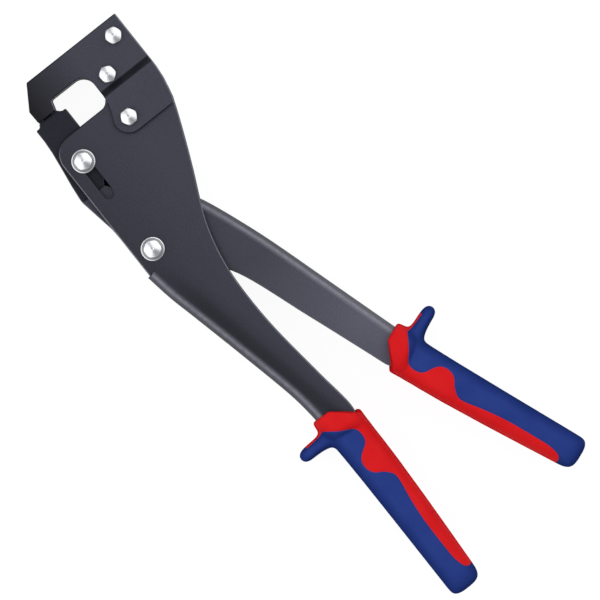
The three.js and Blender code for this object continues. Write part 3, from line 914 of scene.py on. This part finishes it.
def hex_bolt(at, seat, end, turn):
    head = crowned_hexagon(at, HEX_ACROSS, seat + 0.25, seat + HEAD_HEIGHT, turn)
    washer_face = 3.7
    step = seat + 0.6
    profile = [*shank_end(end), (SHANK, seat), (washer_face, seat), (washer_face, step), (0, step)]
    return join(head, lathe(round_profile(profile, 0.1), at, 48))


def flanged_bolt(at, radius):
    """A flanged bolt that ends level with its nut; radius is that of its shank between the plates."""
    seat = LOW_SEAT
    head = crowned_hexagon(at, FLANGED_ACROSS, seat + FLANGE_HEIGHT, seat + 5, 0)
    shank = [*shank_end(LOWEST), (SHANK, -BODY_OUTER), (radius, -BODY_OUTER), (radius, seat)]
    rim = [(FLANGE - 0.1, seat), (FLANGE, seat + 0.15), (FLANGE, seat + 0.75), (FLANGE - 0.15, seat + 0.9)]
    cone = [(5.65, seat + 0.95), (4.2, seat + 1.6), (0, seat + 1.65)]
    return join(head, lathe(round_profile([*shank, *rim, *cone], 0.12), at))


def nut_bore(at, low, seat):
    """The cutter of a nut's bore, chamfered at the low end."""
    profile = [(0, low - 1), (BOLT_HOLE + 0.9, low - 0.6), (BOLT_HOLE, low + 0.35), (BOLT_HOLE, 1 - seat),
               (0, 1 - seat)]
    return lathe(profile, at, 48)


def hex_nut(at, seat, height, turn):
    low = -seat - height
    inner, outer = HEX_ACROSS / 2 - 0.15, HEX_ACROSS / 2 + 0.8
    chamfer = lathe([(0, low - 1), (inner, low - 1), (inner, low), (outer, low + 0.55), (outer, -seat),
                     (0, -seat)], at)
    body = common(prism(hexagon(at, HEX_ACROSS, -turn), low, -seat), chamfer)
    return cut(body, nut_bore(at, low, seat))


def flanged_nut(at):
    seat = LOW_SEAT
    top = -seat - FLANGE_HEIGHT
    inner, outer = FLANGED_ACROSS / 2 - 0.15, FLANGED_ACROSS / 2 + 0.8
    limit = lathe([(0, -LOWEST), (inner, -LOWEST), (outer, -LOWEST + 0.55), (outer, top), (0, top)], at)
    body = common(prism(hexagon(at, FLANGED_ACROSS, 0), -LOWEST, top), limit)
    cone = [(0, -seat - 1.5), (5.1, -seat - 1.35), (FLANGE, top), (FLANGE, -seat), (0, -seat)]
    flange = lathe(round_profile(cone, 0.12), at)
    return cut(join(body, flange), nut_bore(at, -LOWEST, seat))


def ring(at, outer, inner, z0, z1):
    return plate(circle(at, outer, 64), [circle(at, inner, 64)], z0, z1, edge=0.2, steps=1)


# ---------------------------------------------------------------- grips

# Stations of the fixed grip from the collar to the end: y, outer x, inner x, half thickness.
GRIP_STATIONS = [
    (-119.8, 9.4, 31.7, 14.6), (-121.2, 8.6, 32.0, 15.8), (-124.5, 8.2, 32.2, 16.3), (-129, 8.2, 32.3, 16.5),
    (-131.3, 8.6, 32.2, 16.3), (-133.2, 9.4, 32.1, 15.1), (-135.2, 10.2, 32.1, 12.9), (-137, 9.9, 32.1, 12.6),
    (-140, 10.0, 32.0, 12.8), (-146, 10.2, 32.0, 13.3), (-160, 10.4, 31.8, 13.5), (-185, 10.5, 30.8, 13.4),
    (-208, 10.5, 29.6, 12.8), (-220, 10.5, 28.9, 12.3), (-226, 10.5, 28.6, 11.6), (-229.5, 10.5, 28.3, 10.7),
    (-232, 10.7, 27.6, 9.4), (-233.6, 11.6, 26.5, 7.6), (-234.7, 13.4, 24.8, 4.8), (-235.2, 16, 22, 2),
]
GRIP_RUNS = [(-119.8, -142, 40), (-143, -222, 60), (-222.8, -235.2, 30)]  # from y, to y, rings
# Stations of the hand guard from its tip to its root: x, y of the middle, half thickness, half width.
WING_STATIONS = [
    (-7.45, -131.1, 0.7, 1.6), (-7.1, -131.1, 1.6, 3.4), (-6.3, -131.1, 2.5, 5.2), (-5.0, -131.1, 3.2, 6.8),
    (-2.8, -131.0, 3.6, 8.0), (0, -130.9, 3.7, 8.8), (4, -130.9, 3.9, 9.2), (7, -131.0, 4.3, 9.4),
    (9.5, -131.2, 5.0, 9.5), (11.5, -131.4, 5.6, 9.5), (16, -131.5, 5.6, 9.5),
]
WING_RUNS = [(-7.45, -5.4, 9), (-5, 16, 40)]     # from x, to x, rings
# The line where the two plastics meet, from the collar's outer side to the end's inner side.
SEAM = spline([(10, -126.6), (11.7, -127.8), (15, -130.2), (18.2, -132.3), (20.8, -133.6), (23, -134.9),
               (24.4, -136.5), (25, -139), (24.8, -142.3), (23.2, -145), (19.5, -147.4), (16.9, -149.9),
               (15.9, -153.4), (16.5, -156.8), (18.4, -159.5), (22.2, -162), (25.5, -166.2), (25.6, -171.3),
               (24, -181.6), (22.8, -194.7), (22.6, -210), (22.7, -217.5), (23.3, -221.3), (24.2, -224.3),
               (25.8, -226), (28, -226.2), (40, -226.2)], 0.8)
SEAM_DEPTH = 0.3
SEAM_WIDTH = 0.42
CLEAR = 20                       # a cutter this far from the middle plane stands out of the grip
GRIP_SHARP = 50                  # degrees, for row_object()


def ring_angles(count):
    return 2 * math.pi * (np.arange(count) + 0.5) / count


def boxy(value, power):
    """A cosine or sine pushed outwards, which makes a rounded box of a circle."""
    return math.copysign(abs(value) ** power, value)


def ring_places(runs):
    return np.concatenate([np.linspace(start, end, rings) for start, end, rings in runs])


def collar_slant(x, y):
    """How far a point moves towards the grip's end, because the collar leans back on its inner side."""
    return 0.14 * (x - 20) * clamped((y + 160) / 20) * clamped((-120.5 - y) / 6)


def grip_skin():
    """The grip's main body: rounded boxes along the handle, closed at both ends."""
    order = np.array(GRIP_STATIONS)[::-1]
    boxiness = 0.66
    rings = []
    for y in ring_places(GRIP_RUNS):
        outer, inner, half = (np.interp(y, order[:, 0], order[:, k]) for k in (1, 2, 3))
        points = []
        for angle in ring_angles(120):
            x = (outer + inner) / 2 + (inner - outer) / 2 * boxy(math.cos(angle), boxiness)
            z = half * boxy(math.sin(angle), boxiness)
            points.append((x, y - collar_slant(x, y), z))
        rings.append(points)
    return skin(rings)


def wing_skin():
    """The hand guard: a rounded tongue that grows out of the collar, away from the other handle."""
    stations = np.array(WING_STATIONS)
    rings = []
    for x in ring_places(WING_RUNS):
        y, thick, wide = (np.interp(x, stations[:, 0], stations[:, k]) for k in (1, 2, 3))
        rings.append([(x, y + thick * boxy(math.cos(a), 0.75), wide * boxy(math.sin(a), 0.85))
                      for a in ring_angles(64)])
    return skin(rings)


def vertex_array(mesh, what):
    values = np.empty(len(mesh.vertices) * 3)
    mesh.vertices.foreach_get(what, values)
    return values.reshape(-1, 3)


def move_vertices(mesh, co):
    mesh.vertices.foreach_set("co", co.ravel())
    mesh.update()


def edge_array(mesh):
    ends = np.empty(len(mesh.edges) * 2, np.int32)
    mesh.edges.foreach_get("vertices", ends)
    return ends.reshape(-1, 2)


def relaxed(co, ends, weight, rounds):
    """Moves each vertex towards the middle of its neighbours, rounds times, by its own weight."""
    count = np.bincount(ends.ravel(), minlength=len(co))[:, None]
    for _ in range(rounds):
        total = np.zeros_like(co)
        np.add.at(total, ends[:, 0], co[ends[:, 1]])
        np.add.at(total, ends[:, 1], co[ends[:, 0]])
        co = co + weight[:, None] * (total / count - co)
    return co


def distance_to_line(points, line):
    best = np.full(len(points), 1e9)
    for a, b in zip(line, line[1:]):
        a, b = np.array(a), np.array(b)
        d = b - a
        t = np.clip(((points - a) @ d) / (d @ d), 0, 1)
        best = np.minimum(best, np.linalg.norm(points - a - t[:, None] * d, axis=1))
    return best


def voxels(obj, size):
    modifier = obj.modifiers.new("voxels", "REMESH")
    modifier.mode = "VOXEL"
    modifier.voxel_size = size
    return evaluated(obj)


def smooth_step(value, low, high):
    t = np.clip((value - low) / (high - low), 0, 1)
    return t * t * (3 - 2 * t)


def front_cutter():
    """Everything above the collar's lip, which leans back on the inner side, most at the front and rear."""
    rings = []
    for z, foot in ((-CLEAR, -139.2), (0, -134.6), (CLEAR, -139.2)):
        outline = [(18.8, -120.4), (40, foot), (40, -110), (0, -110), (0, -119.9)]
        rings.append([(x, y, z) for x, y in outline])
    return skin(rings)


def wing_root(co):
    """1 where the hand guard grows out of the collar and 0 elsewhere, with soft limits."""
    x, y = co[:, 0], co[:, 1]
    root = smooth_step(-x, -14, -9) * smooth_step(x, 0.5, 4) * smooth_step(y, -143, -138)
    return root * smooth_step(-y, 123.5, 126)


def seam_depth(co):
    """How far each point is pressed in by the seam, whose last stretch is left out on the inner flank."""
    near = distance_to_line(co[:, :2], SEAM)
    outside = smooth_step(np.abs(co[:, 2]), 2, 6) + smooth_step(co[:, 1], -226, -224)
    return SEAM_DEPTH * np.exp(-(near / SEAM_WIDTH) ** 2) * np.minimum(outside, 1)


def grip_body():
    """The whole grip as one fine mesh, with soft edges and the seam of its two plastics pressed in."""
    body = voxels(join(cut(grip_skin(), front_cutter()), wing_skin()), VOXEL)
    mesh = body.data
    co, ends = vertex_array(mesh, "co"), edge_array(mesh)
    root = wing_root(co)
    co = relaxed(co, ends, np.full(len(co), 0.5), 7)
    co = relaxed(co, ends, 0.5 * root, 50)
    move_vertices(mesh, co)
    move_vertices(mesh, co - vertex_array(mesh, "normal") * seam_depth(co)[:, None])
    return body


def cover_side():
    """Everything on the cover's side of the seam."""
    return prism([*SEAM, (40, -250), (-20, -250), (-20, -120), (-1.9, -120), (-1.6, -128.4), (3, -128.1),
                  (6.8, -127.7)], -CLEAR, CLEAR)


def socket(room):
    """Room for the tang, round at the back like the folded sheet."""
    back = [(10.6, -110), (10.6, -123), (12.3, -136), (13, -170), (13.3, -206)]
    front = [(25.8, -206), (27, -170), (28.2, -137), (30.6, -128), (30.8, -110)]
    rings = []
    corner = min(room, BODY_BEND + GAP)
    for z in np.linspace(-room, room, 33):
        over = max(0, abs(z) - (room - corner))
        inset = corner - math.sqrt(max(0, corner ** 2 - over ** 2))
        rings.append([(x, y, z) for x, y in [*((x + inset, y) for x, y in back), *front]])
    return skin(rings)


def mirrored_twin(obj):
    """Moves a piece of the fixed grip to where its mirrored twin lies."""
    mirror = Matrix.Scale(-1, 4, (1, 0, 0))
    turn = Matrix.Rotation(GRIP_TWIST, 4, "Z")
    obj.data.transform(Matrix.Translation((*GRIP_SHIFT, 0)) @ turn @ mirror)
    obj.data.flip_normals()
    return obj


def grip_pair(room):
    """The hard core and the soft cover; room is the half thickness of the tang's socket."""
    whole = grip_body()
    core = cut(linked("core", whole.data.copy()), cover_side(), socket(room))
    cover = cut(common(whole, cover_side()), socket(room))
    return core, cover


# ---------------------------------------------------------------- assembly


def add_zinc(obj, node):
    row_object(obj, node, "bright_zinc")


def add_black(obj, node):
    row_object(obj, node, "black_steel")


def add_washers(name, at, outer, inner, z0, z1):
    add_zinc(ring(at, outer, inner, z0, z1), f"{name}_front")
    add_zinc(ring(at, outer, inner, -z1, -z0), f"{name}_rear")


def add_fixed_side():
    row_object(fixed_handle_shell(), "fixed_handle_shell", "body_steel")
    row_object(head_plate(1), "head_plate_front", "head_steel")
    row_object(head_plate(-1), "head_plate_rear", "head_steel")
    add_black(die_block(), "die_block")
    for i, at in enumerate(HEAD_BOLTS):
        seat = HIGH_SEAT if i == 2 else LOW_SEAT
        height = LOWEST - HIGH_SEAT if i == 2 else NUT_HEIGHT
        add_zinc(hex_bolt(at, seat, seat + height, TURNS[i]), f"head_bolt_{i + 1}")
        add_zinc(hex_nut(at, seat, height, TURNS[i]), f"head_nut_{i + 1}")
    inner = BODY_INNER - GAP
    add_zinc(ring(HEAD_BOLTS[2], SLEEVE, BOLT_HOLE, -inner, inner), "head_sleeve")
    add_zinc(flanged_bolt(ORIGIN, SHANK), "pivot_bolt")
    add_zinc(flanged_nut(ORIGIN), "pivot_nut")
    add_black(ring(ORIGIN, SLEEVE, BOLT_HOLE, -inner, inner), "pivot_sleeve")
    add_washers("pivot_washer", ORIGIN, PIVOT_WASHER, SLEEVE + GAP, LEVER_OUTER + GAP, inner)


def add_moving_handle():
    row_object(moving_handle_shell(), "moving_handle_shell", "lever_steel")
    add_black(knee_pin(), "knee_pin")


def add_slide():
    at = (0, SLIDE_Y)
    add_black(slide_block(), "slide_block")
    add_black(punch(), "punch")
    add_zinc(punch_screw(), "punch_screw")
    add_zinc(flanged_bolt(at, SHOULDER), "slide_bolt")
    add_zinc(flanged_nut(at), "slide_nut")
    add_black(ring(at, SLIDE_SLEEVE, SHOULDER + GAP, -LEVER_OUTER, LEVER_OUTER), "slide_sleeve")
    add_washers("slide_washer", at, SLIDE_WASHER, SLIDE_SLEEVE + GAP, LEVER_OUTER - LEVER_SHEET, LEVER_OUTER)
    row_object(toggle_link(), "toggle_link", "link_steel")


def add_grips():
    core, cover = grip_pair(LOW_SEAT)
    row_object(core, "fixed_grip_core", "moulded_red", GRIP_SHARP)
    row_object(cover, "fixed_grip_cover", "soft_blue", GRIP_SHARP)
    core, cover = grip_pair(LEVER_OUTER + GAP)
    row_object(mirrored_twin(core), "moving_grip_core", "moulded_red", GRIP_SHARP)
    row_object(mirrored_twin(cover), "moving_grip_cover", "soft_blue", GRIP_SHARP)


# ---------------------------------------------------------------- floor, light and camera


def add_floor():
    """A pale floor that glows a little, so that the object's shadow on it stays faint."""
    n = Nodes("pale_floor")
    cloud = n.noise(60, 2)
    glow = 0.93
    n.shader.inputs["Emission Color"].default_value = (1, 1, 1, 1)
    n.shader.inputs["Emission Strength"].default_value = glow
    colour = n.ramp(cloud, [(0.3, (0.095, 0.095, 0.1)), (0.7, (0.1, 0.1, 0.1))])
    n.finish(colour, n.span(cloud, 0, 1, 0.7, 0.8))
    bm = bmesh.new()
    half_size = 4                # metres
    bmesh.ops.create_grid(bm, x_segments=8, y_segments=8, size=half_size)
    floor = mesh_object(bm, "floor")
    floor.data.materials.append(MATERIALS["pale_floor"])


def add_light(name, place, target, width, height, power):
    light = bpy.data.lights.new(name, "AREA")
    light.shape = "RECTANGLE"
    light.size = width
    light.size_y = height
    light.energy = power
    obj = linked(name, light)
    obj.location = place
    aim = Vector(target) - Vector(place)
    obj.rotation_euler = aim.to_track_quat("-Z", "Y").to_euler()


def add_world(strength):
    world = bpy.data.worlds.new("studio")
    world.use_nodes = True
    background = world.node_tree.nodes["Background"]
    background.inputs["Color"].default_value = (0.93, 0.95, 1.0, 1)
    background.inputs["Strength"].default_value = strength
    bpy.context.scene.world = world


def add_camera():
    """Straight down on the front plate, turned so that the head is at the top left."""
    distance = 4.0               # metres above the plate
    width = 0.3055               # metres across the picture
    sensor = 36
    camera = bpy.data.cameras.new("camera")
    camera.sensor_width = sensor
    camera.lens = sensor * distance / width
    camera.clip_end = 20
    obj = linked("camera", camera)
    right = Vector((0.7842, -0.6206, 0))
    up = Vector((0.6206, 0.7842, 0))
    axes = Matrix((right, up, (0, 0, 1))).transposed().to_4x4()
    plate_level = PIVOT.z + BODY_OUTER / 1000
    middle_x, middle_y = -0.0056, -0.00301
    obj.matrix_world = Matrix.Translation((middle_x, middle_y, plate_level + distance)) @ axes
    bpy.context.scene.camera = obj


add_fixed_side()
add_moving_handle()
add_slide()
add_grips()
add_floor()
for side, x in (("left", -0.98), ("right", 0.98)):
    add_light(f"softbox_{side}", (x, 0.25, 1.26), (0, 0, 0), width=1.6, height=1.9, power=13.5)
add_world(0.42)
add_camera()
bpy.context.scene.view_settings.view_transform = "Standard"
